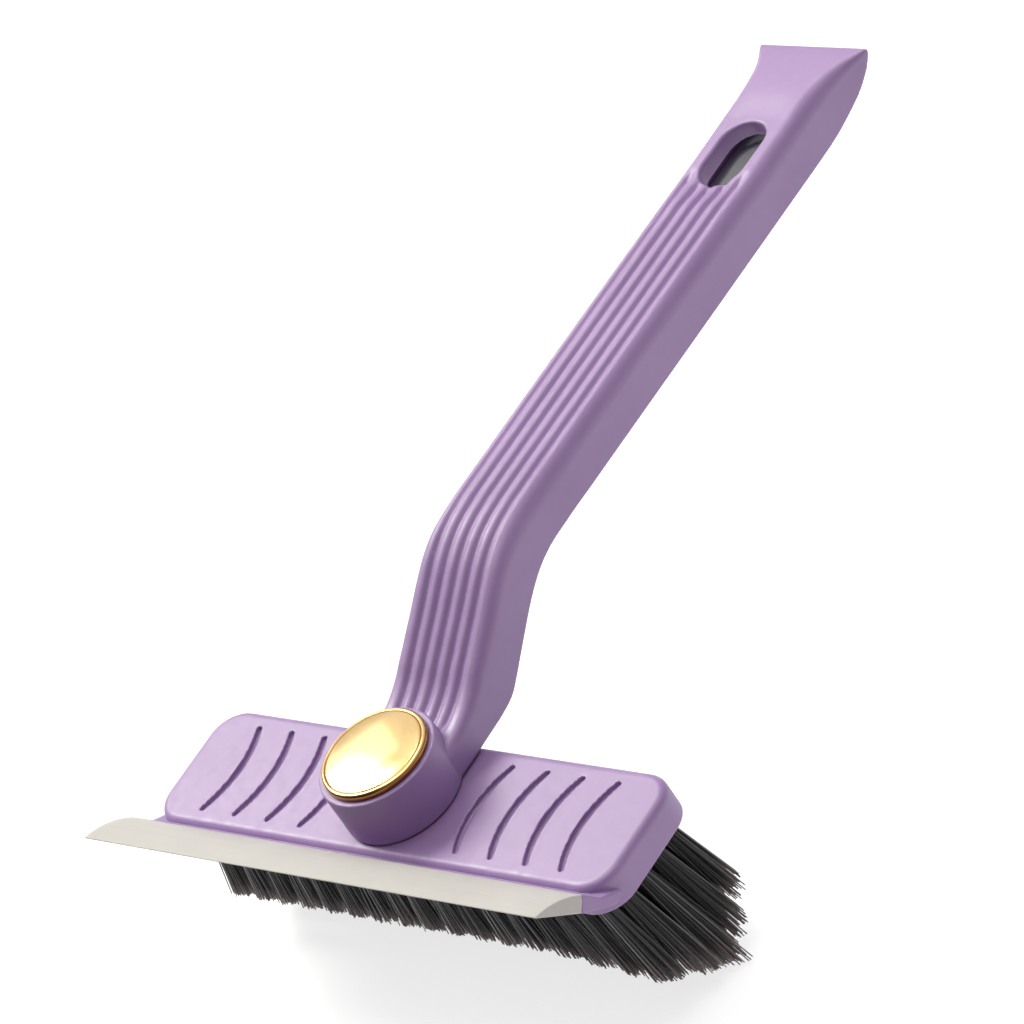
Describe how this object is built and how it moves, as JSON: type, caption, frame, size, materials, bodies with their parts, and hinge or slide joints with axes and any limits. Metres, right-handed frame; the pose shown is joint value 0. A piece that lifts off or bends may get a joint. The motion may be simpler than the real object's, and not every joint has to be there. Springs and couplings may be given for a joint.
{
  "type": "swivel-head scraper brush",
  "caption": "Lilac hand brush with V-trimmed dark bristles, a grey squeegee blade, a cranked ribbed swivel handle with a scraper tip, a gold pivot cap and tongs stowed in its back.",
  "frame": {"origin": "on the head's swivel axis, at the ridge of the V-trimmed bristles, on which the brush stands", "axes": "+X along the brush head, +Y along the handle towards the scraper tip at swivel angle 0, +Z along the swivel axis from the bristles to the hub cap"},
  "size_m": [0.1539, 0.2494, 0.0745],
  "materials": {
    "lilac_plastic": "satin moulded lilac plastic",
    "block_plastic": "moulded dark plastic",
    "black_bristle": "stiff dark filaments",
    "anchor_wire": "flat tufting wire",
    "wiper_rubber": "soft light grey rubber",
    "zinc_steel": "zinc plated",
    "spring_steel": "spring steel",
    "gold_plating": "mirror gold plating on plastic",
    "grey_plastic": "light grey moulded plastic"
  },
  "bodies": {
    "head": {"head_shell": "lilac_plastic", "bristle_block": "block_plastic", "tuft_row_1": "black_bristle", "tuft_row_2": "black_bristle", "tuft_row_3": "black_bristle", "tuft_row_4": "black_bristle", "tuft_row_5": "black_bristle", "tuft_anchors_1": "anchor_wire", "tuft_anchors_2": "anchor_wire", "tuft_anchors_3": "anchor_wire", "tuft_anchors_4": "anchor_wire", "tuft_anchors_5": "anchor_wire", "squeegee_blade": "wiper_rubber", "pivot_screw": "zinc_steel", "flat_washer": "zinc_steel", "wave_washer": "spring_steel"},
    "handle": {"handle": "lilac_plastic", "hub_cap": "gold_plating"},
    "tongs": {"tongs": "grey_plastic"}
  },
  "joints": [
    {"name": "head_swivel", "type": "hinge", "parent": "head", "child": "handle", "pos_m": [0, 0, 0.043], "axis": [0, 0, 1], "range_deg": [-90, 90]},
    {"name": "tongs_release", "type": "slide", "parent": "handle", "child": "tongs", "axis": [0, 0, -1], "range_m": [0, 0.014]}
  ]
}
